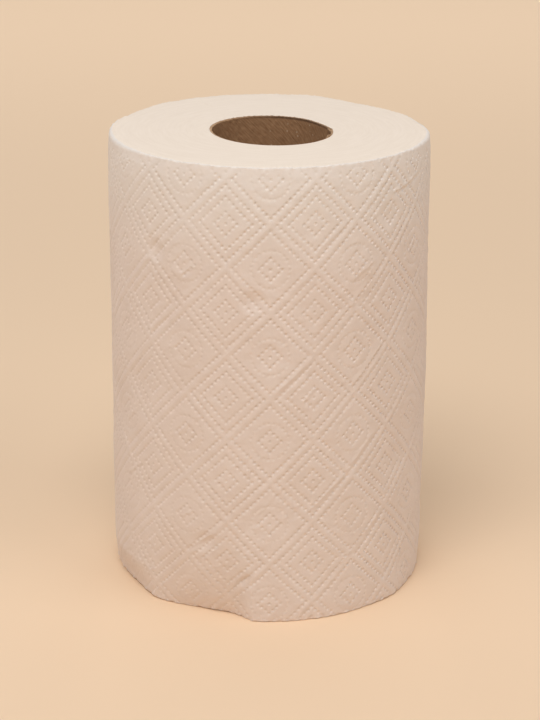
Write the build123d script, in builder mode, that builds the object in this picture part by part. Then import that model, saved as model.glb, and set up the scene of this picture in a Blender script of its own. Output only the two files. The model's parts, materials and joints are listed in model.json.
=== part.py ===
from build123d import *
import os
from math import acos, cos, degrees, radians, sin, sqrt

os.makedirs("parts", exist_ok=True)

# A roll of embossed paper towel wound on a paperboard core, standing on one end.
# Millimetres, +Z up along the core, with the origin on the core's axis at the resting end.
# Angles are degrees about +Z from +X. The roll's front faces -Y.

# Lengths
roll_height = 191.0
core_recess = 0.0  # the log saw cuts paper and core together, so their ends are flush

# Core
core_outer_radius = 25.5
core_wall = 0.9
glue_gap = 0.0  # the first turn is glued to the board, so the two faces meet

# Wound paper
roll_radius = 66.0
winding_off_x = -0.65  # the paper is wound a little off the core's axis
winding_off_y = 2.3
rim_round = 1.0  # soft edge left by the saw at both ends

# Free end of the last turn, at the back. It lifts off the turn below towards its torn edge.
tail_step = 1.0  # paper and slack together
tail_angle = 122.0
tail_gap = 5.0  # degrees of round wall between the flat spot and the start of the free end
tail_inset = 0.6  # its corners stop this far short of the rounded rims

# Flat spot pressed into the back right side, along the whole height
flat_angle = 48.0
flat_depth = 5.1
flat_blend = 30.0  # radius that eases the flat into the round wall

# Crushed foot at the front left, where the turns are pushed in
dent_angle = -116.0
dent_depth = 6.4
dent_half_width = 21.0
dent_height = 38.0
dent_lift = 4.0  # height of the deepest point
dent_blend = 12.0

winding_centre = Vector(winding_off_x, winding_off_y)


def direction(angle):
    return Vector(cos(radians(angle)), sin(radians(angle)))


# The wound paper in plan: a circle with the flat cut off it and eased in at both ends.
flat_out = direction(flat_angle)
flat_distance = roll_radius - flat_depth
with BuildSketch() as roll_outline:
    with Locations(winding_centre):
        Circle(roll_radius)
    with Locations(winding_centre + flat_out * (flat_distance + roll_radius / 2)):
        Rectangle(roll_radius, 2 * roll_radius, rotation=flat_angle, mode=Mode.SUBTRACT)
    fillet(roll_outline.vertices().group_by(lambda v: Vector(v).dot(flat_out))[-1], flat_blend)

# The free end in plan: the roll's own circle, moved sideways so that it leaves the round wall
# past the flat's blend and stands tail_step clear of it at the torn edge. Its section reaches
# back inside the wall, so that the two surfaces cross cleanly.
flat_reach = degrees(acos((flat_distance - flat_blend) / (roll_radius - flat_blend)))
tail_start_angle = flat_angle + flat_reach + tail_gap
tail_root_angle = tail_start_angle - tail_gap / 2
tail_shift = tail_step / sin(radians(tail_angle - tail_start_angle))
tail_centre = winding_centre + direction(tail_start_angle + 90) * tail_shift
tail_base = rim_round + tail_inset
with BuildSketch(Plane.XY.offset(tail_base)) as tail_section:
    with Locations(tail_centre):
        Circle(roll_radius)
    with Locations(winding_centre + direction(tail_angle + 90) * roll_radius):
        Rectangle(2 * roll_radius, 4 * roll_radius, rotation=tail_angle + 90, mode=Mode.SUBTRACT)
    with Locations(winding_centre + direction(tail_root_angle - 90) * roll_radius):
        Rectangle(2 * roll_radius, 4 * roll_radius, rotation=tail_root_angle + 90, mode=Mode.SUBTRACT)

# The foot is crushed by a bluff round shape: an upright ellipsoid outside the wall, deepest at
# dent_lift. There its section meets the wall dent_half_width to each side of the dent's middle,
# and on that middle line it leaves the wall at dent_height.
wall_sagitta = roll_radius - sqrt(roll_radius**2 - dent_half_width**2)
dent_sagitta = dent_depth - wall_sagitta
dent_radius = (dent_half_width**2 + dent_sagitta**2) / (2 * dent_sagitta)
dent_reach = (dent_height - dent_lift) / sqrt(1 - (1 - dent_depth / dent_radius) ** 2)
dent_out = direction(dent_angle)
dent_middle = winding_centre + dent_out * (roll_radius - dent_depth + dent_radius)
dent_plane = Plane(
    origin=(dent_middle.X, dent_middle.Y, dent_lift),
    x_dir=dent_out,
    z_dir=(dent_out.Y, -dent_out.X, 0),
)

with BuildPart() as paper_roll:
    add(roll_outline.sketch)
    extrude(amount=roll_height)
    with BuildSketch(dent_plane):
        Ellipse(dent_radius, dent_reach)
        with Locations((-dent_radius, 0)):
            Rectangle(2 * dent_radius, 2 * dent_reach, mode=Mode.SUBTRACT)
    revolve(axis=Axis(dent_middle, (0, 0, 1)), mode=Mode.SUBTRACT)
    fillet(edges(Select.LAST).sort_by(Axis.Z)[-1], dent_blend)
    fillet(faces().sort_by(Axis.Z)[-1].outer_wire().edges(), rim_round)
    fillet(faces().sort_by(Axis.Z)[0].outer_wire().edges(), rim_round)
    extrude(tail_section.sketch, amount=roll_height - 2 * tail_base)
    with BuildSketch():
        Circle(core_outer_radius + glue_gap)
    extrude(amount=roll_height, mode=Mode.SUBTRACT)
paper_roll.part.label = "paper_roll"

with BuildPart() as core_tube:
    with BuildSketch(Plane.XY.offset(core_recess)):
        Circle(core_outer_radius)
        Circle(core_outer_radius - core_wall, mode=Mode.SUBTRACT)
    extrude(amount=roll_height - 2 * core_recess)
core_tube.part.label = "core_tube"

export_step(paper_roll.part, "parts/paper_roll.step")
export_step(core_tube.part, "parts/core_tube.step")
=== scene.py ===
import json
import bpy
import numpy as np
from mathutils import Matrix, Vector


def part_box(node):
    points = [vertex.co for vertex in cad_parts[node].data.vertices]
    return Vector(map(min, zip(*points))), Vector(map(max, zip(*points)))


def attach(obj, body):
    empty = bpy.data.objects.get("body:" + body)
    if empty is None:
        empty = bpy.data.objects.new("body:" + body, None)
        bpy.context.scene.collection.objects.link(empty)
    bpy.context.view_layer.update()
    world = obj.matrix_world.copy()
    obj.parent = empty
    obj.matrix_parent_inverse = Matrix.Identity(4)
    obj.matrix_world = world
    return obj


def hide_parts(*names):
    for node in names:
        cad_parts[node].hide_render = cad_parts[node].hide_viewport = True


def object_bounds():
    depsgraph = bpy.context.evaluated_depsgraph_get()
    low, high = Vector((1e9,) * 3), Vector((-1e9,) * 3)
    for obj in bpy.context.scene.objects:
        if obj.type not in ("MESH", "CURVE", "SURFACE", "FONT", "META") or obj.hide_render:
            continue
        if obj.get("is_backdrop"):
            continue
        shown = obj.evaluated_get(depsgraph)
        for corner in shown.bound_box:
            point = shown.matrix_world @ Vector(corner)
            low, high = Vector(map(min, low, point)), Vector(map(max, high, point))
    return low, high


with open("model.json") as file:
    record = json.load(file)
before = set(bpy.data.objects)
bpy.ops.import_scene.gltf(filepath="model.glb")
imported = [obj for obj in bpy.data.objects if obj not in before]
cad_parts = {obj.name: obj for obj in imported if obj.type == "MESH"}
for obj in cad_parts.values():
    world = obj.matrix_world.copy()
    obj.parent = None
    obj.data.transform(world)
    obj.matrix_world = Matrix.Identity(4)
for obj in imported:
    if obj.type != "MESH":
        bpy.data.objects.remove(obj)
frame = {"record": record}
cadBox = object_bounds()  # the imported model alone
mm = 0.001  # everything below is worked out in millimetres and degrees

paperLow, paperHigh = [np.array(corner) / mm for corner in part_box("paper_roll")]
coreHigh = np.array(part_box("core_tube")[1]) / mm
boreMount = next(m for m in frame["record"]["mounts"] if m["name"] == "core_bore")
rollHeight = paperHigh[2]
rollRadius = (paperHigh[0] - paperLow[0]) / 2
windX = (paperHigh[0] + paperLow[0]) / 2  # the paper's winding stands a little off the core's axis
windY = paperLow[1] + rollRadius
coreOuter = coreHigh[0]
coreInner = boreMount["dims"]["r_mm"]
print("frame: roll", round(rollHeight, 1), "tall, radius", round(rollRadius, 1))

viewpoint = {
    "aim": (-0.1, 2.3, 90.45),
    "distance": 846.2,
    "down": 19.88,
    "roll": 0.24,
    "lens": 99.3,
}


# the camera looks along +Y and down, from distance behind the aim
def placeCamera(spec):
    data = bpy.data.cameras.new("viewCamera")
    data.lens = spec["lens"]
    data.clip_start = 0.01
    data.clip_end = 50
    camera = bpy.data.objects.new("viewCamera", data)
    bpy.context.scene.collection.objects.link(camera)
    tip = Matrix.Rotation(np.radians(90 - spec["down"]), 4, "X")
    turn = tip @ Matrix.Rotation(np.radians(spec["roll"]), 4, "Z")
    back = turn @ Vector((0, 0, spec["distance"] * mm))
    camera.matrix_world = Matrix.Translation(Vector(spec["aim"]) * mm + back) @ turn
    bpy.context.scene.camera = camera


placeCamera(viewpoint)
print("camera placed")


# 1 in the middle, easing to 0 where x reaches -1 or 1
def bell(x):
    return np.clip(1 - x * x, 0, None) ** 2


# 0 up to x = 0, 1 from x = 1, a smooth S between
def ease(x):
    x = np.clip(x, 0, 1)
    return x * x * (3 - 2 * x)


# a sum of cosine waves of mixed length and heading, about -1 to 1; size is their mean length
def waves(a, b, size, seed, count=8):
    rng = np.random.default_rng(seed)
    total = np.zeros(np.broadcast(a, b).shape)
    for heading, stretch, phase in rng.random((count, 3)):
        length = size * (0.6 + 0.9 * stretch)
        heading = heading * np.pi
        run = a * np.cos(heading) + b * np.sin(heading)
        total = total + np.cos(2 * np.pi * (run / length + phase))
    return total / np.sqrt(2 * count)


# signed turn from one heading to another, in degrees
def turnFrom(heading, middle):
    return (heading - middle + 180) % 360 - 180


emboss = {
    "around": 35.13,  # size of one repeat round the roll
    "up": 35.52,
    "steps": 70,  # grid columns and rows in a repeat
    "pitches": 70 / 3,  # dot pitches in a repeat
    "middle": (-16.95, 132.82),  # middle of one star: along the front from its centre line, and height
    "dotRadius": 0.8,
    "dotDepth": 0.24,
    "ringShare": 0.45,  # how deep the rings' dots are beside the others
    "starLines": (3, 7, 10),  # dotted squares round a star's middle, in pitches
    "wheelLines": (3, 10),
    "wheelRing": 5,  # dotted circle in the squares between the stars
    "wheelDots": 23,
    "troughWidth": 0.85,
    "risingTrough": 0.06,  # along the lines that run up to the right
    "fallingTrough": 0.053,
    "ringTrough": 0.03,
    "risingWelt": 0.053,  # the raised lines between stars and wheels
    "fallingWelt": 0.034,
    "weltWidth": 0.6,
    # uneven pressing, as a share of the full depth: its mean and least, the most for dots and for
    # lines, and patches, each with a length, a swing and a seed
    "meanPress": 0.95,
    "leastPress": 0.3,
    "mostDots": 1.7,
    "mostLines": 1.6,
    "dotPatches": ((30, 0.2, 21), (3.4, 0.3, 22)),
    "risingPatches": ((40, 0.3, 24),),
    "fallingPatches": ((40, 0.3, 23),),
    # how firmly it is pressed round the roll: distance along, share for the dots, share for the rest
    "firmness": (
        (-90, 1.2, 1.2),
        (-12, 1.3, 1.3),
        (30, 1.4, 1.3),
        (42, 1.9, 1.5),
        (54, 2.5, 1.7),
        (64, 3.0, 1.9),
        (90, 3.0, 1.9),
        (130, 1.2, 1.2),
    ),
    "spread": 0.00017,  # the sheet is pulled a little wider for each millimetre above spreadFrom
    "spreadFrom": 45.0,
}


# The pressed pattern's depth below the sheet, as dots, troughs and welts. Squares stand on their
# corners in a chequer of stars and wheels. A dot sits on each whole-pitch point whose distances
# along and up add up to a line's number, wheels have a ring of dots too, and a soft trough follows
# each dotted line.
def embossDepth(along, up):
    tile = emboss["pitches"]
    pitch = emboss["around"] / tile
    along = along / (1 + emboss["spread"] * np.clip(up - emboss["spreadFrom"], 0, None))
    x = (along - emboss["middle"][0]) / emboss["around"] * tile
    y = (up - emboss["middle"][1]) / emboss["up"] * tile
    x = x - tile * np.round(x / tile)
    y = y - tile * np.round(y / tile)
    star = np.abs(x) + np.abs(y) <= tile / 2
    x = np.where(star, x, x - tile / 2 * np.sign(x))
    y = np.where(star, y, y - tile / 2 * np.sign(y))
    square = np.abs(x) + np.abs(y)
    column, row = np.round(x), np.round(y)
    number = np.abs(column) + np.abs(row)
    onStar = np.isin(number, (0, *emboss["starLines"])) & star
    onWheel = np.isin(number, (0, *emboss["wheelLines"])) & ~star
    far = 9.0  # pitches, out of reach of any dot or trough
    gap = np.where(onStar | onWheel, np.hypot(x - column, y - row), far)
    spoke = 2 * np.pi / emboss["wheelDots"]
    heading = np.round(np.arctan2(y, x) / spoke) * spoke
    ring = emboss["wheelRing"]
    ringGap = np.hypot(x - ring * np.cos(heading), y - ring * np.sin(heading))
    dots = bell(gap * pitch / emboss["dotRadius"])
    ringDots = bell(ringGap * pitch / emboss["dotRadius"]) * ~star
    dots = np.maximum(dots, emboss["ringShare"] * ringDots)
    lineGap = np.full(square.shape, far)
    for line in emboss["starLines"]:
        inLine = star | (line in emboss["wheelLines"])
        nearer = np.minimum(lineGap, np.abs(square - line) / np.sqrt(2))
        lineGap = np.where(inLine, nearer, lineGap)
    trough = np.exp(-((lineGap * pitch / emboss["troughWidth"]) ** 2))
    rising = ease(0.5 - x * y / 4)  # 1 on the sides that run up to the right
    rounds = np.exp(-(((np.hypot(x, y) - ring) * pitch / emboss["troughWidth"]) ** 2)) * ~star
    welts = np.exp(-(((square - tile / 2) / np.sqrt(2) * pitch / emboss["weltWidth"]) ** 2))
    return dots, trough * rising, trough * (1 - rising), rounds, welts * rising, welts * (1 - rising)


# The share of its full depth that the pressing reaches: a mean plus a wave for each patch, held
# between the least and a most.
def pressShare(along, up, patches, most):
    share = emboss["meanPress"]
    for length, swing, seed in patches:
        share = share + swing * waves(along, up, length, seed)
    return np.clip(share, emboss["leastPress"], most)


creases = {
    "width": 1.0,
    "waver": 0.8,
    "waverLength": 14,
    "height": 0.5,
    "fade": 0.25,  # share of its length that a crease fades over, at each end
    "ridge": 0.7,  # how far the ridge and the furrow lie to either side of the line, in widths
    "furrow": 0.6,
    # from and to, each along the front and up, then height
    "lines": (
        ((47.1, 77.3), (18.0, 48.2), 0.3),
        ((50.7, 42.1), (28.9, 21.5), 0.28),
        ((32.5, 168.0), (19.2, 155.0), 0.20),
        ((50.7, 148.7), (35.0, 133.0), 0.26),
        ((52.0, 116.0), (36.0, 100.0), 0.28),
        ((14.0, 110.0), (3.4, 99.0), 0.26),
        ((20.0, 101.0), (14.0, 95.5), 0.25),
        ((-43.8, 128.0), (-52.3, 118.5), 0.28),
        ((-30.0, 149.5), (-36.5, 145.0), 0.24),
        ((-24.0, 37.0), (-33.0, 30.5), 0.34),
        ((-30.0, 45.0), (-37.0, 41.5), 0.22),
        ((-7.0, 20.5), (-12.5, 16.5), 0.34),
        ((45.0, 150.0), (36.0, 143.5), 0.22),
        ((64.5, 176.4), (56.0, 176.9), 0.5),
        ((73.0, 180.0), (63.5, 176.4), 0.5),
        ((73.0, 152.5), (67.5, 148.0), 0.30),
        ((74.0, 44.5), (68.0, 39.5), 0.30),
        ((8.0, 60.0), (-4.0, 48.5), 0.16),
        ((-60.0, 60.0), (-70.0, 50.5), 0.20),
        ((-28.0, 88.0), (-40.0, 76.5), 0.14),
    ),
}


# Each crease is a ridge beside a furrow along a wavering line, fading at both ends.
def creaseHeight(along, up):
    total = np.zeros(np.broadcast(along, up).shape)
    waver = creases["waver"] * waves(along, up, creases["waverLength"], 14)
    for start, end, height in creases["lines"]:
        length = np.hypot(end[0] - start[0], end[1] - start[1])
        ahead = ((end[0] - start[0]) / length, (end[1] - start[1]) / length)
        run = ((along - start[0]) * ahead[0] + (up - start[1]) * ahead[1]) / length
        side = ((along - start[0]) * ahead[1] - (up - start[1]) * ahead[0] + waver) / creases["width"]
        fade = ease(run / creases["fade"] + 0.5) * ease((1 - run) / creases["fade"] + 0.5)
        ridge = np.exp(-((side - creases["ridge"]) ** 2))
        furrow = np.exp(-((side + creases["furrow"]) ** 2))
        total = total + creases["height"] * height * fade * (ridge - furrow)
    return total


hollows = {
    # middle along the front and up, radius, depth
    "places": (
        (-6.2, 137.5, 6.5, 0.95),
        (-49.9, 153.5, 6.0, 0.85),
        (-38.0, 146.0, 4.5, -0.3),
        (-27.0, 33.5, 6.0, 0.7),
        (53.0, 167.0, 7.5, 0.5),
        (-8.7, 18.0, 5.0, 0.4),
        (41.0, 149.0, 7.0, -0.35),
        (0.0, 115.0, 7.0, 0.25),
        (-62.0, 96.0, 9.0, 0.3),
        (62.0, 62.0, 9.0, 0.35),
    ),
    "roll": 0.16,  # gentle unevenness all over
    "rollLength": 38,
    "ribs": 0.05,  # faint ribs that run up to the right
    "ribLength": 5.5,
    "ribStretch": 7,  # times longer than wide
    "ribPatch": 60,  # length over which they come and go
    "crumple": ((3.2, 0.024), (6.5, 0.045)),  # fine unevenness: length, height
    "crumpleSquash": 1.25,
    "crumpleWaves": 14,
}


# Soft knocks, each a bell-shaped hollow, on slow unevenness and faint slanting ribs.
def slowHeight(along, up):
    total = hollows["roll"] * waves(along, up, hollows["rollLength"], 11)
    across, down = (along - up) / np.sqrt(2), (along + up) / np.sqrt(2)
    strong = 0.6 + 0.6 * waves(along, up, hollows["ribPatch"], 13)
    ribs = waves(across, down / hollows["ribStretch"], hollows["ribLength"], 12)
    total = total + hollows["ribs"] * strong * ribs
    squashed = hollows["crumpleSquash"] * up
    for number, (length, height) in enumerate(hollows["crumple"]):
        total = total + height * waves(along, squashed, length, 61 + number, hollows["crumpleWaves"])
    for x, y, radius, depth in hollows["places"]:
        total = total - depth * bell(np.hypot(along - x, up - y) / radius)
    return total


roll = {
    "pieces": 4,
    "seam": 121.0,  # heading where the wall's columns start and end, under the free end
    "seamGap": 0.5,  # from the seam to the first column on the pattern's grid
    "seamFade": 1.5,  # the relief dies away over this much beside the seam
    "hiddenColumns": 30,  # coarse ones, covered by the free end
    "rimRound": 0.55,
    "rimSteps": 4,
    "rimRelief": 0.2,  # share of the relief that is left at the top rim
    "rimReliefFrom": 1.0,  # it grows from this far below the rim, over rimReliefOver
    "rimReliefOver": 4.0,
    "rimSag": (8, 6),  # how far down a rounder rim sinks, and over what height that fades
    "frayed": 0.16,  # how far the sawn edges waver
    "frayLength": 2.6,
    "frayBand": 1.5,  # height over which the wall's own edge frays
    "footFray": 2.2,  # times more at the foot
    "faceRings": 26,
    "faceCrowding": 1.3,  # above 1, the rings crowd together towards the wall
    "faceWidth": 40.0,
    "faceGrain": 0.06,  # the sawn top's unevenness, and its length
    "faceGrainLength": 3.5,
    "lastTurns": 4.0,  # width of the outer turns that lift and fray
    "raised": (0.08, 0.1, 5),  # how far they stand up at the foot: mean, swing, length
    "leastRaised": 0.02,
    "boreRows": (0.999, 0.96, 0.9, 0.8, 0.6, 0.3, 0.001),  # shares of the height
    # chords pressed flat: heading, depth
    "flats": ((48.0, 5.1), (151.0, 1.8)),
    "flatSoft": 0.8,  # how softly a chord meets the circle
    "lean": (-0.6, 1.7),  # how far the winding leans back, at the foot and at the top
    "foot": -113.0,  # middle of the crushed foot
    "footDepth": 6.4,
    "footHalf": (24.6, 17.5),  # degrees to its left and right
    "footHeight": 42.0,
    "footPower": 1.4,  # above 1, it eases in more softly round its edge
    # swellings and tucks: heading, half width in degrees, height, half height, how far out
    "swells": (
        (-176.0, 50, 30, 50, 0.7),
        (-178.0, 50, 110, 120, 0.4),
        (-4.0, 45, 85, 80, 0.75),
        (-2.0, 50, 0, 15, -0.3),
        (-153.0, 28, 0, 15, -3.0),
        (-38.0, 14, 0, 14, 0.8),
        (100.0, 26, 190, 150, 0.2),
        (20.0, 20, 190, 60, -1.7),
    ),
    # where the last turns stand clear of the floor: heading, half width, how far
    "lifts": ((-40.0, 34, 0.12), (-150.0, 22, 0.45), (-107.0, 15, 0.15)),
    "shoulder": 0.8,  # the wall's front leans in by this much over its last shoulderHeight
    "shoulderHeight": 11.0,
    "shoulderShares": (0.55, 0.45),  # all round, and more in front and less behind
    "tuck": 0.4,  # and the foot all round over its first tuckHeight
    "tuckHeight": 10.0,
    # where the top rim is rounder: heading, half width, how much
    "softRims": ((0.0, 40, 2.2), (18.0, 22, 2.2), (-170.0, 45, 2.0)),
}


# The wall's distance from the winding's axis: a circle met softly by the flats' chords, leaning
# back with height, less the crushed foot, which is steeper on its right, with broad swellings and
# tucks.
def wallRadius(heading, up):
    turn = np.radians(heading)
    radius = np.full(np.broadcast(heading, up).shape, rollRadius)
    soft = roll["flatSoft"]
    for middle, depth in roll["flats"]:
        facing = np.maximum(np.cos(turn - np.radians(middle)), 0.2)  # kept above 0 round the back
        chord = (rollRadius - depth) / facing
        radius = -soft * np.logaddexp(-chord / soft, -radius / soft)
    lean = roll["lean"][0] + (roll["lean"][1] - roll["lean"][0]) * up / rollHeight
    radius = radius + lean * np.sin(turn)
    off = turnFrom(heading, roll["foot"])
    left, right = roll["footHalf"]
    pushed = np.where(off > 0, 1 - (np.abs(off) / right) ** 4, 1 - (off / left) ** 2)
    pushed = np.clip(pushed, 0, None) ** roll["footPower"]
    radius = radius - roll["footDepth"] * pushed * np.clip(1 - up / roll["footHeight"], 0, 1) ** 2
    for middle, half, height, halfHeight, out in roll["swells"]:
        around = bell(turnFrom(heading, middle) / half)
        radius = radius + out * around * bell((up - height) / halfHeight)
    near = np.clip(1 - (rollHeight - up) / roll["shoulderHeight"], 0, 1)
    allRound, inFront = roll["shoulderShares"]
    radius = radius - roll["shoulder"] * near**2 * (allRound - inFront * np.sin(turn))
    return radius - roll["tuck"] * np.clip(1 - up / roll["tuckHeight"], 0, 1) ** 2


core = {
    "oval": 1.2,  # the mouth is longer along this heading and shorter across it
    "ovalHeading": -60.0,
    "wider": 0.2,
    "squash": 0.85,  # and flattened at the back right, as the roll is
    "squashHeading": 30.0,
    "squashHalf": 30.0,
    "depth": 70.0,  # how far down the mouth is out of round
}


# The board's outer radius: round, but oval and pressed in near the top.
def coreRadius(heading, up):
    oval = core["oval"] * np.cos(2 * np.radians(heading - core["ovalHeading"])) + core["wider"]
    pressed = core["squash"] * bell(turnFrom(heading, core["squashHeading"]) / core["squashHalf"])
    return coreOuter + (oval - pressed) * ease(1 - (rollHeight - up) / core["depth"])


# The same surface measured from the winding's axis, found by three rounds of sliding along the ray.
def boreReach(heading, up):
    turn = np.radians(heading)
    dx, dy = np.cos(turn), np.sin(turn)
    dot = windX * dx + windY * dy
    reach = np.full(np.broadcast(heading, up).shape, coreOuter)
    for _ in range(3):
        around = np.degrees(np.arctan2(windY + reach * dy, windX + reach * dx))
        surface = coreRadius(around, up)
        reach = -dot + np.sqrt(dot**2 - windX**2 - windY**2 + surface**2)
    return reach


# One round of the roll's section, from the bore across the foot face, round its rim, up the wall,
# round the top rim and back across the top face to the bore. Rows hold: share of the way from bore
# to wall, distance in from the wall, height, and how much of the embossing shows.
def rollProfile():
    rim = roll["rimRound"]
    step = emboss["up"] / emboss["steps"]
    clear = 0.4 * step  # the wall's own rows keep this far from the rims
    first = emboss["middle"][1] + step * np.ceil((rim + clear - emboss["middle"][1]) / step)
    up = np.arange(first, rollHeight - rim - clear, step)
    rings = 1 - (1 - np.linspace(0.02, 1, roll["faceRings"])) ** roll["faceCrowding"]
    face = np.concatenate([[0, 0.006], rings])  # with a narrow first ring, for a crisp mouth
    turn = np.linspace(0, np.pi / 2, roll["rimSteps"] + 1)[1:]
    flat = np.zeros(len(face))
    foot = np.stack([face, flat + rim, flat, flat], 1)
    inset = rim - rim * np.sin(turn)
    bend = np.stack([np.ones(len(turn)), inset, rim - rim * np.cos(turn), np.sin(turn) ** 2], 1)
    wall = np.stack([np.ones(len(up)), np.zeros(len(up)), up, np.ones(len(up))], 1)
    top = bend[::-1].copy()
    top[:, 2] = rollHeight - top[:, 2]
    head = foot[::-1].copy()
    head[:, 2] = rollHeight
    bore = np.array([[0, rim, rollHeight * share, 0] for share in roll["boreRows"]])
    return np.concatenate([foot, bend, wall, top, head, bore])


# A point of the roll for each heading and profile row: the reach from the winding's axis is between
# the bore and the wall, plus the relief, and the last turns' edges lift and waver at the two rims.
def rollPoint(heading, row):
    share, inset, up, pressed = [row[..., i] for i in range(4)]
    along = rollRadius * np.radians(heading - 270)
    wall = wallRadius(heading, up)
    reach = boreReach(heading, up) * (1 - share) + (wall - inset) * share
    dots, rising, falling, rounds, risingWelts, fallingWelts = embossDepth(along, up)
    places, dotShares, lineShares = zip(*emboss["firmness"])
    firm = np.interp(along, places, lineShares)
    patchy = pressShare(along, up, emboss["dotPatches"], emboss["mostDots"])
    pressedDots = emboss["dotDepth"] * dots * patchy * np.interp(along, places, dotShares)
    rising = emboss["risingTrough"] * rising - emboss["risingWelt"] * risingWelts
    falling = emboss["fallingTrough"] * falling - emboss["fallingWelt"] * fallingWelts
    depth = rising * pressShare(along, up, emboss["risingPatches"], emboss["mostLines"])
    depth = depth + falling * pressShare(along, up, emboss["fallingPatches"], emboss["mostLines"])
    depth = pressedDots + firm * (depth + emboss["ringTrough"] * rounds)
    relief = creaseHeight(along, up) + slowHeight(along, up) - depth
    below = rollHeight - up
    least = roll["rimRelief"]
    growing = ease((below - roll["rimReliefFrom"]) / roll["rimReliefOver"])
    relief = relief * (least + (1 - least) * growing)
    joined = np.minimum(np.abs(heading - roll["seam"]), np.abs(heading - roll["seam"] - 360))
    reach = reach + relief * pressed * ease(joined / roll["seamFade"])
    outer = ease(1 - ((1 - share) * roll["faceWidth"] + inset * share) / roll["lastTurns"])
    mean, swing, length = roll["raised"]
    raised = mean + swing * waves(along, 0 * along, length, 31)
    for middle, half, most in roll["lifts"]:
        raised = raised + most * bell(turnFrom(heading, middle) / half)
    frayed = roll["frayed"] * (waves(along, 0 * along, roll["frayLength"], 32) - 1)
    onFace = 1 - pressed
    rounder = np.zeros(np.broadcast(heading, up).shape)
    for middle, half, more in roll["softRims"]:
        rounder = rounder + more * bell(turnFrom(heading, middle) / half)
    nearEdge = ease(1 - np.minimum(up, below) / roll["frayBand"])
    fray = roll["frayed"] * waves(along, up, 3, 34) * nearEdge
    fray = fray * np.where(up < below, roll["footFray"], 1)
    reach = reach - rounder * inset * share * (up > rollHeight / 2) + fray * outer
    sagFrom, sagOver = roll["rimSag"]
    up = up - rounder * np.minimum(below, roll["rimRound"]) * ease((sagFrom - below) / sagOver)
    up = up + np.maximum(raised, roll["leastRaised"]) * outer * ease(1 - up / 10)
    up = up + frayed * outer * ease(1 - below / 5)
    grain = waves(reach, along / 9, roll["faceGrainLength"], 33)
    up = up + onFace * share * roll["faceGrain"] * grain * (up > rollHeight / 2)
    turn = np.radians(heading)
    return np.stack([windX + reach * np.cos(turn), windY + reach * np.sin(turn), up], -1)


# Points over a grid of headings and profile rows, with the surface's own normals from small steps
# each way.
def surfaceGrid(pointAt, headings, rows):
    heading = headings[:, None]
    count = len(rows)
    padded = np.concatenate([rows[-1:], rows, rows[:1]])
    index = np.arange(count) + 1.0

    def rowsAt(shift):
        places = index + shift
        return np.stack([np.interp(places, np.arange(count + 2), column) for column in padded.T], -1)

    nudge = 0.1  # degrees to either side
    onward = 0.3  # of a row, to either side
    points = pointAt(heading, rowsAt(0)[None])
    sideways = pointAt(heading + nudge, rowsAt(0)[None]) - pointAt(heading - nudge, rowsAt(0)[None])
    onwards = pointAt(heading, rowsAt(onward)[None]) - pointAt(heading, rowsAt(-onward)[None])
    normals = np.cross(sideways, onwards)
    normals /= np.maximum(np.linalg.norm(normals, axis=-1, keepdims=True), 1e-12)
    return points, normals


# A closed solid from a grid whose rows run in a loop. Its columns close in a ring too, or end in a
# many-sided face each. marks holds numbers for the material, by name, and strip places each point
# on the board's strip.
def solidFromGrid(name, points, normals, material, marks, ring=False, strip=None):
    columns, rows = points.shape[:2]
    nextRow = (np.arange(rows) + 1) % rows
    corner = np.arange(columns * rows).reshape(columns, rows)
    a, b = (corner, np.roll(corner, -1, 0)) if ring else (corner[:-1], corner[1:])
    quads = np.stack([a, b, b[:, nextRow], a[:, nextRow]], -1).reshape(-1, 4)
    ends = [] if ring else [corner[0], corner[-1][::-1]]
    loops = np.concatenate([quads.ravel(), *ends])
    starts = np.arange(len(quads) + len(ends)) * 4
    starts[len(quads) + 1:] += rows - 4
    mesh = bpy.data.meshes.new(name)
    mesh.vertices.add(columns * rows)
    mesh.vertices.foreach_set("co", (points.reshape(-1) * mm).astype(np.float32))
    mesh.loops.add(len(loops))
    mesh.loops.foreach_set("vertex_index", loops.astype(np.int32))
    mesh.polygons.add(len(starts))
    mesh.polygons.foreach_set("loop_start", starts.astype(np.int32))
    mesh.polygons.foreach_set("use_smooth", np.ones(len(starts), bool))
    mesh.update(calc_edges=True)
    mesh.validate()
    corners = normals.reshape(-1, 3)[quads.ravel()]
    if not ring:
        away = points[[0, -1], rows // 2] - points[[1, -2], rows // 2]
        away /= np.linalg.norm(away, axis=1, keepdims=True)
        corners = np.concatenate([corners, np.repeat(away, rows, 0)])
    mesh.normals_split_custom_set(corners.tolist())
    for mark, values in marks.items():
        layer = mesh.attributes.new(mark, "FLOAT", "POINT")
        everywhere = np.broadcast_to(values, (columns, rows))
        layer.data.foreach_set("value", everywhere.astype(np.float32).ravel())
    if strip is not None:
        layer = mesh.uv_layers.new(name="strip")
        layer.data.foreach_set("uv", strip.reshape(-1, 2)[loops].astype(np.float32).ravel())
    mesh.materials.append(material)
    piece = bpy.data.objects.new(name, mesh)
    bpy.context.scene.collection.objects.link(piece)
    return piece


# Adds a node, sets its own fields, and gives each input a value or a link.
def addNode(material, kind, inputs, settings=None):
    tree = material.node_tree
    node = tree.nodes.new(kind)
    for name, value in (settings or {}).items():
        setattr(node, name, value)
    for name, value in inputs.items():
        if isinstance(value, bpy.types.NodeSocket):
            tree.links.new(value, node.inputs[name])
        else:
            node.inputs[name].default_value = value
    return node


def newMaterial(name, roughness):
    material = bpy.data.materials.new(name)
    material.use_nodes = True
    shader = material.node_tree.nodes["Principled BSDF"]
    shader.inputs["Roughness"].default_value = roughness
    shader.inputs["Specular IOR Level"].default_value = 0.25
    return material, shader


# a colour between two, by how far a value has come
def mixColours(material, factor, first, second):
    inputs = {0: factor, 6: first, 7: second}
    return addNode(material, "ShaderNodeMix", inputs, {"data_type": "RGBA"}).outputs[2]


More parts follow.
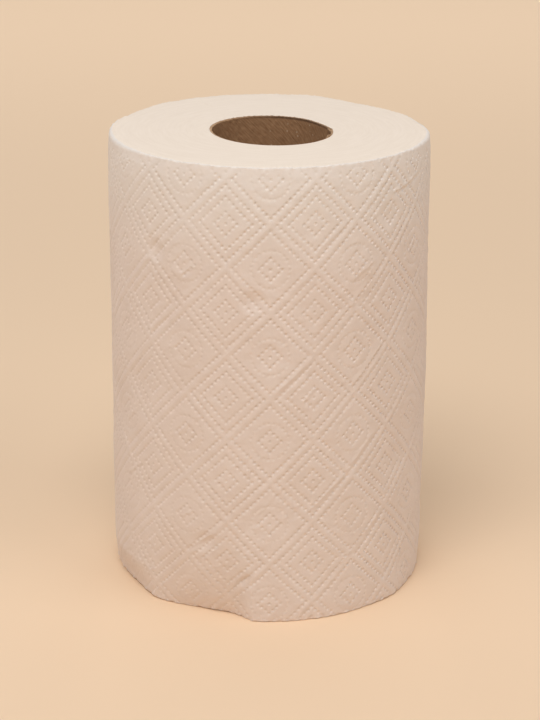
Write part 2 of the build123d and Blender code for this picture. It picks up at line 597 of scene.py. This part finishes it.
def mathNode(material, operation, first, second, third=0.0):
    inputs = {0: first, 1: second, 2: third}
    return addNode(material, "ShaderNodeMath", inputs, {"operation": operation}).outputs[0]


def vectorNode(material, operation, inputs):
    return addNode(material, "ShaderNodeVectorMath", inputs, {"operation": operation})


def noiseNode(material, vector, scale, detail):
    inputs = {"Vector": vector, "Scale": scale, "Detail": detail}
    return addNode(material, "ShaderNodeTexNoise", inputs).outputs[0]


# reads a number that solidFromGrid stored on the points
def markNode(material, mark):
    return addNode(material, "ShaderNodeAttribute", {}, {"attribute_name": mark}).outputs["Fac"]


# bumps the shader by a height, with a strength and a distance in metres
def addBump(material, shader, height, strength, distance):
    inputs = {"Height": height, "Strength": strength, "Distance": distance}
    bump = addNode(material, "ShaderNodeBump", inputs)
    material.node_tree.links.new(bump.outputs[0], shader.inputs["Normal"])


# 0 at low, most at high, straight between
def rangeNode(material, value, low, high, most):
    inputs = {0: value, 1: low, 2: high, 3: 0.0, 4: most}
    return addNode(material, "ShaderNodeMapRange", inputs).outputs[0]


towel = {
    "colour": (0.82, 0.715, 0.65, 1),
    "shade": (0.76, 0.64, 0.56, 1),
    "faceColour": (0.885, 0.765, 0.65, 1),
    "faceShade": (0.80, 0.675, 0.555, 1),
    "streak": (1.3, 4.0),  # the faint streaks on the cut ends: width in mm, and how many to a radian
    "paintedTopLightColour": (0.84, 0.775, 0.72, 1),  # painted light: the wall is painted paler towards its sawn top edge, where more light falls from above
    # height of that painted light band below the top
    "paintedTopLightHeight": 55.0,
    "turnSpacing": 0.35,  # between turns seen on the cut ends
    "turnWobble": 0.0012,  # metres that the clouds push the turns in and out
    "cloudScale": 70,
    "fibreScale": 1500,
    "crepe": (0.35, 0.00012),  # bump strength, and height in metres
    "sheen": 0.12,
    "sheenRoughness": 0.6,
    "roughness": 0.85,
}


# Soft two-ply tissue. Large clouds and fine fibres vary its colour, a painted light makes the wall
# paler towards the top, and a crepe bump roughens it. The cut ends show faint turns as rings about
# the winding's axis, and short streaks.
def towelMaterial():
    material, shader = newMaterial("embossedTowel", towel["roughness"])
    where = addNode(material, "ShaderNodeTexCoord", {}).outputs["Object"]
    clouds = noiseNode(material, where, towel["cloudScale"], 5)
    fibres = noiseNode(material, where, towel["fibreScale"], 4)
    cut = markNode(material, "cutFace")
    centre = {"Vector": where, "Location": (-windX * mm, -windY * mm, 0)}
    centred = addNode(material, "ShaderNodeMapping", centre).outputs[0]
    flat = vectorNode(material, "MULTIPLY", {0: centred, 1: (1, 1, 0)}).outputs[0]
    length = vectorNode(material, "LENGTH", {0: flat}).outputs["Value"]
    wobble = mathNode(material, "MULTIPLY_ADD", clouds, towel["turnWobble"], length)
    turns = mathNode(material, "DIVIDE", wobble, towel["turnSpacing"] * mm)
    ringNoise = {"W": turns, "Scale": 0.7}
    rings = addNode(material, "ShaderNodeTexNoise", ringNoise, {"noise_dimensions": "1D"})
    ringShade = mathNode(material, "MULTIPLY", rings.outputs[0], cut)
    wide, many = towel["streak"]
    ahead = vectorNode(material, "NORMALIZE", {0: flat}).outputs[0]
    outwards = mathNode(material, "DIVIDE", wobble, wide * mm)
    outwards = addNode(material, "ShaderNodeCombineXYZ", {2: outwards}).outputs[0]
    sweep = {0: ahead, 1: (many, many, 0), 2: outwards}
    polar = vectorNode(material, "MULTIPLY_ADD", sweep).outputs[0]
    streak = rangeNode(material, noiseNode(material, polar, 1.0, 3), 0.3, 0.7, 0.4)
    spread = rangeNode(material, clouds, 0.35, 0.7, 0.45)
    speck = rangeNode(material, fibres, 0.4, 0.75, 0.25)
    tintMix = mathNode(material, "ADD", spread, speck)
    tint = mixColours(material, tintMix, towel["colour"], towel["shade"])
    # painted light: the wall's colour turns paler over its top band, standing in for more light from
    # above
    height = addNode(material, "ShaderNodeSeparateXYZ", {0: where}).outputs[2]
    low, high = (rollHeight - towel["paintedTopLightHeight"]) * mm, rollHeight * mm
    span = {0: height, 1: low, 2: high, 3: 0.0, 4: 1.0}
    smooth = {"interpolation_type": "SMOOTHSTEP"}
    paintedTopLightShare = addNode(material, "ShaderNodeMapRange", span, smooth).outputs[0]
    wall = mixColours(material, paintedTopLightShare, tint, towel["paintedTopLightColour"])
    faceMix = mathNode(material, "MULTIPLY_ADD", ringShade, 0.15, streak)
    face = mixColours(material, faceMix, towel["faceColour"], towel["faceShade"])
    colour = mixColours(material, cut, wall, face)
    material.node_tree.links.new(colour, shader.inputs["Base Color"])
    crepe = mathNode(material, "MULTIPLY_ADD", ringShade, 0.6, fibres)
    addBump(material, shader, crepe, *towel["crepe"])
    shader.inputs["Sheen Weight"].default_value = towel["sheen"]
    shader.inputs["Sheen Roughness"].default_value = towel["sheenRoughness"]
    return material


board = {
    "colour": (0.26, 0.130, 0.060, 1),
    "pale": (0.43, 0.25, 0.13, 1),
    "edge": (0.56, 0.36, 0.21, 1),
    "fleck": (0.66, 0.50, 0.34, 1),
    # painted shade: a near-black brown for the shade in the gap beneath the curled rim
    "gap": (0.075, 0.036, 0.018, 1),
    "lineTurn": -46.0,  # degrees that the rolled strip's fine lines lean
    "lineStretch": (0.12, 1.4, 1),
    "lineScale": 1.5,
    "lineShare": 0.65,  # of the lines in the mottling, and the rest of it
    "mottleShare": 0.35,
    "mottleScale": 0.5,
    "fleckScale": 0.42,
    "fleckRarity": 0.62,  # share of the cells that have no fleck
    "grain": (0.5, 0.00015),  # bump strength, and height in metres
    "roughness": 0.8,
}


# Brown paperboard: fine slanting lines and mottling between two browns, sparse pale flecks, a paler
# edge where it was cut and painted shade for the gap beneath its curled rim.
def boardMaterial():
    material, shader = newMaterial("coreBoard", board["roughness"])
    where = addNode(material, "ShaderNodeUVMap", {}, {"uv_map": "strip"}).outputs[0]
    lean = (0, 0, np.radians(board["lineTurn"]))
    turned = addNode(material, "ShaderNodeMapping", {"Vector": where, "Rotation": lean}).outputs[0]
    stretch = {"Vector": turned, "Scale": board["lineStretch"]}
    long = addNode(material, "ShaderNodeMapping", stretch).outputs[0]
    lines = noiseNode(material, long, board["lineScale"], 1)
    mottle = noiseNode(material, where, board["mottleScale"], 6)
    mottled = mathNode(material, "MULTIPLY", mottle, board["mottleShare"])
    both = mathNode(material, "MULTIPLY_ADD", lines, board["lineShare"], mottled)
    share = rangeNode(material, both, 0.3, 0.7, 1.0)
    brown = mixColours(material, share, board["colour"], board["pale"])
    cells = {"Vector": where, "Scale": board["fleckScale"], "Randomness": 1.0}
    dots = addNode(material, "ShaderNodeTexVoronoi", cells)
    near = rangeNode(material, dots.outputs["Distance"], 0.2, 0.1, 1.0)
    picked = addNode(material, "ShaderNodeSeparateColor", {0: dots.outputs["Color"]}).outputs[0]
    rare = mathNode(material, "GREATER_THAN", picked, board["fleckRarity"])
    flecks = mathNode(material, "MULTIPLY", near, rare)
    flecked = mixColours(material, mathNode(material, "MULTIPLY", flecks, 0.7), brown, board["fleck"])
    cut = markNode(material, "cutFace")
    edged = mixColours(material, mathNode(material, "MULTIPLY", cut, 0.9), flecked, board["edge"])
    # painted shade: the gap mark darkens the board where shade falls beneath its curled rim
    colour = mixColours(material, markNode(material, "gap"), edged, board["gap"])
    material.node_tree.links.new(colour, shader.inputs["Base Color"])
    addBump(material, shader, both, *board["grain"])
    return material


paper = towelMaterial()
kraft = boardMaterial()
print("materials ready")


# The wound paper, cut into equal pieces. Its columns lie on the pattern's grid, so that every dot
# is shaped alike, and are coarse where the free end hides them.
def towelPieces():
    step = emboss["around"] / emboss["steps"]
    start = roll["seam"] + roll["seamGap"] - 270
    stop = looseEnd["start"] + looseEnd["overlap"] + 360 - 270
    first = (np.radians(start) * rollRadius - emboss["middle"][0]) / step
    last = (np.radians(stop) * rollRadius - emboss["middle"][0]) / step
    along = emboss["middle"][0] + step * np.arange(np.ceil(first), np.floor(last))
    dense = 270 + np.degrees(along / rollRadius)
    sparse = np.linspace(dense[-1], roll["seam"] + 360, roll["hiddenColumns"])[1:]
    headings = np.concatenate([[roll["seam"]], dense, sparse])
    rows = rollProfile()
    cutRows = (rows[:, 3] == 0) * 1.0
    cuts = np.linspace(0, len(headings) - 1, roll["pieces"] + 1).astype(int)
    pieces = []
    for number, (start, end) in enumerate(zip(cuts[:-1], cuts[1:]), 1):
        points, normals = surfaceGrid(rollPoint, headings[start:end + 1], rows)
        marks = {"cutFace": cutRows}
        pieces.append(solidFromGrid(f"towelQuarter{number}", points, normals, paper, marks))
    return pieces


looseEnd = {
    "start": 84.0,  # heading where the free end leaves the roll
    "tear": 121.5,  # and where it was torn off
    "overlap": 4.0,  # the wall's fine columns run on under it for this much
    "stand": 1.3,  # how far it stands off by then
    "midShare": 0.25,  # share of that which only the middle of its height has
    "standSwing": 0.35,
    "sunk": 0.5,  # how far inside the wall it starts
    "thick": 0.35,
    "edgeShare": 0.15,  # share of its thickness that is left at the torn edge
    "thinning": 12,  # it thins over the last 1/12 of its run
    "inset": 1.0,  # below the top rim and above the foot
    "teeth": 0.45,  # depth of the torn edge's teeth
    "innerRows": 60,
}


# A point of the free end: the wall's own surface and pattern, standing further off towards the torn
# edge and most at mid height. The edge's heading wavers in small teeth, and the sheet thins there
# to a fine edge. Rows hold height and which side, 1 outside and 0 inside.
def looseEndPoint(heading, row):
    up, side = row[..., 0], row[..., 1]
    run = (heading - looseEnd["start"]) / (looseEnd["tear"] - looseEnd["start"])
    teeth = looseEnd["teeth"] * (waves(up, 0 * up, 1.7, 41) + 1.5 * waves(up, 0 * up, 9, 42))
    turned = heading + np.degrees(teeth / rollRadius) * np.clip(run, 0, None) ** 6
    along = rollRadius * np.radians(turned + 360 - 270)
    dots, rising, falling, _, risingWelts, fallingWelts = embossDepth(along, up)
    depth = emboss["dotDepth"] * dots + emboss["risingTrough"] * rising
    depth = depth + emboss["fallingTrough"] * falling
    relief = emboss["risingWelt"] * risingWelts + emboss["fallingWelt"] * fallingWelts - depth
    relief = relief + slowHeight(along, up)
    share = looseEnd["midShare"]
    mid = 1 - share + share * bell((up - 0.5 * rollHeight) / rollHeight)
    uneven = 1 + looseEnd["standSwing"] * waves(up, along, 46, 43)
    stand = looseEnd["stand"] * ease(run) * mid * uneven
    stand = stand - looseEnd["sunk"] * ease(1 - 8 * run)
    least = looseEnd["edgeShare"]
    thick = looseEnd["thick"] * (least + (1 - least) * ease((1 - run) * looseEnd["thinning"]))
    reach = wallRadius(turned, up) + stand + relief - (1 - side) * thick
    turn = np.radians(turned)
    x, y = windX + reach * np.cos(turn), windY + reach * np.sin(turn)
    return np.stack(np.broadcast_arrays(x, y, up), -1)


# The outer face goes up and the inner one comes down on coarser rows, and both ends are closed.
def looseEndPiece():
    step = emboss["around"] / emboss["steps"]
    spacing = np.degrees(step / rollRadius)
    count = int((looseEnd["tear"] - looseEnd["start"]) / spacing)
    headings = looseEnd["tear"] - spacing * np.arange(count, -1, -1)
    rise = emboss["up"] / emboss["steps"]
    low, high = looseEnd["inset"], rollHeight - looseEnd["inset"]
    first = emboss["middle"][1] + rise * np.ceil((low - emboss["middle"][1]) / rise)
    outer = np.concatenate([[low], np.arange(first, high, rise), [high]])
    inner = np.linspace(high, low, looseEnd["innerRows"])
    side = np.concatenate([np.ones(len(outer)), np.zeros(len(inner))])
    rows = np.stack([np.concatenate([outer, inner]), side], 1)
    points, normals = surfaceGrid(looseEndPoint, headings, rows)
    return solidFromGrid("looseEnd", points, normals, paper, {"cutFace": 0})


towelParts = towelPieces() + [looseEndPiece()]
for piece in towelParts:
    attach(piece, "root")
    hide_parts("paper_roll")
    print(piece.name, len(piece.data.vertices), sum(len(p.vertices) - 2 for p in piece.data.polygons))

tube = {
    "columns": 240,
    "outerRows": 40,
    "rimRows": 4,
    "innerStep": 1.0,
    "mouthDepth": 6.0,  # the inner rows are closer together above this depth
    "mouthStep": 0.4,
    "seamPitch": 96.0,  # the wound strip's climb in one turn
    "seamPhase": 0.1,
    "seamDepth": 0.22,
    "seamWidth": 0.35,
    "stripWidth": 80.0,
    "uneven": ((2.2, 0.05, 51), (9, 0.05, 52)),  # of the inner face: length, height and seed
    "torn": 0.22,  # roughness of the cut rim
    "tuftReach": 1.6,  # how far down a torn tuft starts
    # torn tufts folded inwards: heading, half width, size
    "tears": ((4.0, 8.0, 0.8), (-23.0, 7.0, 0.8)),
    "paleRims": ((184.0, 60), (-5.0, 30)),  # where the cut rim shows pale: heading, half width
    "paintedShadeHeading": 55.0,  # and painted shade where it curls under into the gap
    "paintedShadeHalf": 75.0,
    # how dark that painted shade is
    "paintedShadeStrength": 0.85,
    "cutBand": 0.2,  # height of the paler cut edge
    "leastPale": 0.25,
    "tuftBand": 1.3,  # and of the paler tufts
}


# how much of a torn tuft there is at a heading
def tuftSize(heading):
    total = np.zeros(np.shape(heading))
    for middle, half, size in tube["tears"]:
        total = total + size * bell(turnFrom(heading, middle) / half)
    return total


# A point of the board tube for each heading and row: rows hold depth through the wall from outside
# to in, and height. The inner face has the strip's slanting seam and a faint unevenness, and the
# rims are rough.
def tubePoint(heading, row):
    through, up = row[..., 0], row[..., 1]
    wall = coreOuter - coreInner
    around = coreOuter * np.radians(heading)
    turns = up / tube["seamPitch"] + heading / 360 + tube["seamPhase"]
    across = (turns - np.round(turns)) * tube["stripWidth"]
    seam = np.exp(-((across / tube["seamWidth"]) ** 2))
    uneven = sum(height * waves(around, up, length, seed) for length, height, seed in tube["uneven"])
    onInside = through > 0.99
    reach = coreRadius(heading, up) - through * wall
    reach = reach + (tube["seamDepth"] * seam + uneven) * onInside
    atTop = ease(1 - (rollHeight - up) / 2)
    atFoot = ease(1 - up / 2)
    rough = waves(around, 9 * through, 1.3, 53)
    tuft = tuftSize(heading)
    nearTop = ease(1 - (rollHeight - up) / tube["tuftReach"])
    reach = reach - tuft * through * nearTop * (1 + 0.4 * rough)
    up = up + atTop * (rough * tube["torn"] * 0.5 + tuft * (0.3 + 0.5 * rough))
    up = up - 0.25 * atTop * through + atFoot * (0.1 + 0.1 * rough)
    turn = np.radians(heading)
    return np.stack(np.broadcast_arrays(reach * np.cos(turn), reach * np.sin(turn), up), -1)


# The tube's section runs up the outside, across the cut rim, down the inside and back across the
# foot. Its marks say where the board shows pale and where painted shade darkens the gap under its rim.
def tubePiece():
    headings = np.arange(tube["columns"]) * 360 / tube["columns"]
    outerRows, rimRows = tube["outerRows"], tube["rimRows"]
    outer = np.stack([np.zeros(outerRows), np.linspace(0, rollHeight, outerRows)], 1)
    rim = np.stack([np.linspace(0, 1, rimRows + 2)[1:-1], np.full(rimRows, rollHeight)], 1)
    mouthEnd = rollHeight - tube["mouthDepth"]
    mouth = np.arange(rollHeight, mouthEnd, -tube["mouthStep"])
    down = np.concatenate([mouth, np.arange(mouthEnd, 1, -tube["innerStep"]), [0]])
    inner = np.stack([np.ones(len(down)), down], 1)
    foot = np.stack([np.linspace(1, 0, rimRows + 2)[1:-1], np.zeros(rimRows)], 1)
    rows = np.concatenate([outer, rim, inner, foot])
    points, normals = surfaceGrid(tubePoint, headings, rows)
    through, up = rows.T
    onRim = (up > rollHeight - tube["cutBand"]) | (up < tube["cutBand"])
    heading = headings[:, None]
    pale = np.full(heading.shape, tube["leastPale"])
    for middle, half in tube["paleRims"]:
        pale = np.maximum(pale, bell(turnFrom(heading, middle) / half))
    tufted = np.clip(tuftSize(heading) * 2, 0, 1)
    onTuft = tufted * (up > rollHeight - tube["tuftBand"]) * (through > 0.5)
    # painted shade: the inner lip of the rim is darkened round the back, where shade falls in the gap
    lip = ease((up - rollHeight + 0.9) / 0.6) * ease((through - 0.3) / 0.3)
    paintedShadeAround = np.sqrt(bell(turnFrom(heading, tube["paintedShadeHeading"]) / tube["paintedShadeHalf"]))
    gap = tube["paintedShadeStrength"] * paintedShadeAround * lip
    marks = {"cutFace": np.maximum(pale * onRim, onTuft), "gap": gap * (1 - onTuft)}
    strip = np.stack(np.broadcast_arrays(coreOuter * np.radians(heading), up), -1)
    return solidFromGrid("coreTube", points, normals, kraft, marks, ring=True, strip=strip)


coreTube = tubePiece()
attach(coreTube, "root")
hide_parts("core_tube")
print("core tube:", len(coreTube.data.polygons), "faces")


stage = {
    "floor": (0.88, 0.66, 0.46),
    "floorHalf": 6,  # metres
    "floorRoughness": 0.9,
    "world": (1.0, 0.95, 0.9),
    "worldPower": 0.2,
    # soft lights: place, what they face, size, power, colour
    "lights": {
        "key": ((-0.15, -0.6, 1.4), (0, 0, 0.1), 0.8, 9.7, (1, 1, 1)),
        "front": ((-0.5, -1.0, 1.4), (0, 0, 0.1), 0.8, 3.1, (1, 1, 1)),
        "left": ((-1.0, -0.35, 0.75), (0, 0, 0.1), 0.8, 1.9, (1, 1, 1)),
        "right": ((0.9, -0.5, 0.95), (0, 0, 0.1), 0.8, 3.9, (1, 1, 1)),
        "lowLeft": ((-0.42, -0.42, 0.06), (0, 0, 0.02), 0.1, 0.075, (1, 0.42, 0.15)),
        "lowRight": ((0.42, -0.42, 0.06), (0, 0, 0.02), 0.1, 0.075, (1, 0.42, 0.15)),
        "floorLeft": ((-0.7, 1.5, 1.0), (-0.7, 1.5, 0), 1.2, 7.0, (1, 1, 1)),
        "floorRight": ((0.7, 1.5, 1.0), (0.7, 1.5, 0), 1.2, 7.0, (1, 1, 1)),
    },
}


def makeStage():
    mesh = bpy.data.meshes.new("floor")
    half = stage["floorHalf"]
    corners = [(-half, -half, 0), (half, -half, 0), (half, half, 0), (-half, half, 0)]
    mesh.from_pydata(corners, [], [(0, 1, 2, 3)])
    floor = bpy.data.objects.new("floor", mesh)
    bpy.context.scene.collection.objects.link(floor)
    material = bpy.data.materials.new("paleFloor")
    material.use_nodes = True
    shader = material.node_tree.nodes["Principled BSDF"]
    shader.inputs["Base Color"].default_value = (*stage["floor"], 1)
    shader.inputs["Roughness"].default_value = stage["floorRoughness"]
    mesh.materials.append(material)
    floor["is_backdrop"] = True
    world = bpy.data.worlds.new("softRoom")
    bpy.context.scene.world = world
    world.use_nodes = True
    background = world.node_tree.nodes["Background"]
    background.inputs["Color"].default_value = (*stage["world"], 1)
    background.inputs["Strength"].default_value = stage["worldPower"]


# a square area lamp at a place, turned to face its aim and hidden from the camera
def softbox(name, place, aim, size, power, colour):
    data = bpy.data.lights.new(name, "AREA")
    data.shape = "SQUARE"
    data.size = size
    data.energy = power
    data.color = colour
    lamp = bpy.data.objects.new(name, data)
    bpy.context.scene.collection.objects.link(lamp)
    lamp.visible_camera = False
    lamp.location = place
    lamp.rotation_euler = (Vector(aim) - Vector(place)).to_track_quat("-Z", "Y").to_euler()


makeStage()
for name, light in stage["lights"].items():
    softbox(name, *light)
bpy.context.scene.view_settings.view_transform = "Standard"

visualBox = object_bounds()
boxes = {"cad": cadBox, "visual": visualBox}
boxes = {name: [[float(side) for side in corner] for corner in box] for name, box in boxes.items()}
